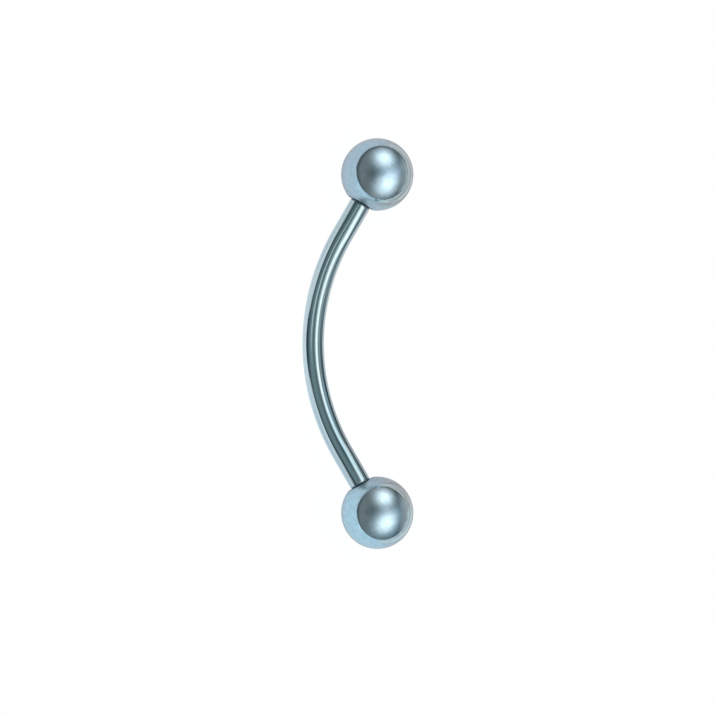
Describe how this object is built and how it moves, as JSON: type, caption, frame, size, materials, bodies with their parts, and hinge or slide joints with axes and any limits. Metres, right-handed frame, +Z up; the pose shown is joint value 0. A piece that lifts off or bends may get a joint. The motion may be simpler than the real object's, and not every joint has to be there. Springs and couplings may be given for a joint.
{
  "type": "snake eyes tongue barbell",
  "caption": "Curved metal barbell for a tongue piercing: a bent round bar with a polished ball screwed onto each threaded end, lying as it rests on a surface.",
  "frame": {"origin": "bottom centre of the bounding box, on the surface that the barbell lies on", "axes": "+X from the upper ball to the lower ball, -Y towards the bulge of the bar, +Z up from the surface"},
  "size_m": [0.0228, 0.0058, 0.004],
  "materials": {
    "bar_metal": "drawn titanium bar, mirror polished, with a faint cold blue tone",
    "ball_metal": "turned titanium ball, mirror polished, with a faint cold blue tone"
  },
  "bodies": {
    "bar": {"curved_bar": "bar_metal"},
    "ball_upper": {"upper_ball": "ball_metal"},
    "ball_lower": {"lower_ball": "ball_metal"}
  },
  "joints": [
    {"name": "upper_ball_off", "type": "slide", "parent": "bar", "child": "ball_upper", "axis": [-0.866, 0.4593, 0.1975], "range_m": [0, 0.003]},
    {"name": "lower_ball_off", "type": "slide", "parent": "bar", "child": "ball_lower", "axis": [0.866, 0.4593, 0.1975], "range_m": [0, 0.003]}
  ]
}
